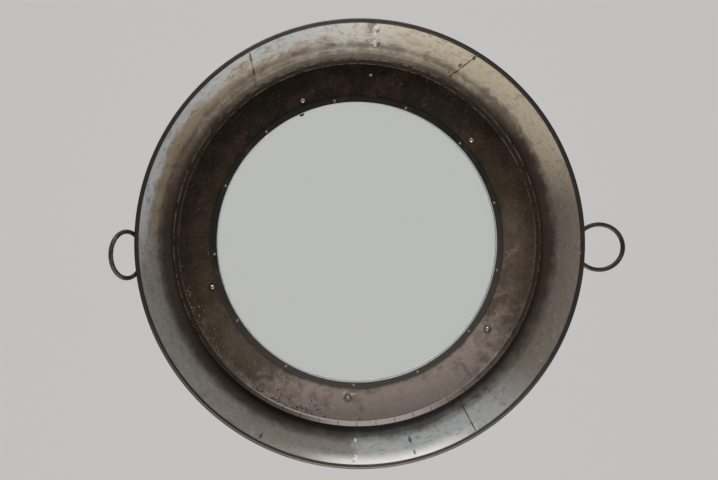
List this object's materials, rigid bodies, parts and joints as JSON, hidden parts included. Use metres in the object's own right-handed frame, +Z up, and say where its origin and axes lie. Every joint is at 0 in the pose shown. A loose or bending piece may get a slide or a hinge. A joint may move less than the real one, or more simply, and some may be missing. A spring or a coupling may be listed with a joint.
{
  "type": "round window",
  "caption": "Round fixed window made from a riveted sheet-steel pan: flared rusty frame, round double glazing and a swinging iron ring handle on each side.",
  "frame": {"origin": "on the window's axis, in the plane of the mounting ring's back face", "axes": "+Z up, +Y along the window's axis to the outdoor side, -Y to the room, +X to the right seen from the room"},
  "size_m": [1.023, 0.1949, 0.9],
  "materials": {
    "wall_steel": "old bare sheet steel, worn grey with brown rust",
    "base_steel": "dark brown rusted sheet steel",
    "rivet_steel": "rusted rivet steel",
    "strap_iron": "dark forged iron",
    "ring_iron": "dark forged iron",
    "glazing_steel": "dark grey-green steel",
    "screw_steel": "zinc plated screws",
    "gasket_rubber": "black foam gasket",
    "clear_glass": "clear float glass",
    "spacer_aluminium": "mill aluminium",
    "seal_rubber": "black sealant",
    "block_plastic": "black plastic",
    "ring_wood": "sanded plywood"
  },
  "bodies": {
    "window": {"base_disc": "base_steel", "edge_seal": "seal_rubber", "fixing_screws": "screw_steel", "front_gasket": "gasket_rubber", "glazing_ring": "glazing_steel", "glazing_screws": "screw_steel", "inner_pane": "clear_glass", "left_eye_strap": "strap_iron", "left_strap_rivets": "rivet_steel", "mending_rivets": "rivet_steel", "mounting_ring": "ring_wood", "outer_pane": "clear_glass", "rear_gasket": "gasket_rubber", "right_eye_strap": "strap_iron", "right_strap_rivets": "rivet_steel", "rim_wire": "ring_iron", "seam_rivets": "rivet_steel", "setting_blocks": "block_plastic", "spacer_bar": "spacer_aluminium", "top_screw": "screw_steel", "wall_panel_1": "wall_steel", "wall_panel_2": "wall_steel", "wall_panel_3": "wall_steel", "wall_panel_4": "wall_steel", "wall_panel_5": "wall_steel", "wall_panel_6": "wall_steel"},
    "left_ring": {"left_ring_handle": "ring_iron"},
    "right_ring": {"right_ring_handle": "ring_iron"}
  },
  "joints": [
    {"name": "left_ring_swing", "type": "hinge", "parent": "window", "child": "left_ring", "pos_m": [-0.44138, -0.10785, -0.02098], "axis": [-0.0475, 0, 0.9989], "range_deg": [-154, 2]},
    {"name": "right_ring_swing", "type": "hinge", "parent": "window", "child": "right_ring", "pos_m": [0.44182, -0.10785, -0.007], "axis": [-0.0158, 0, -0.9999], "range_deg": [-100, 56]}
  ]
}
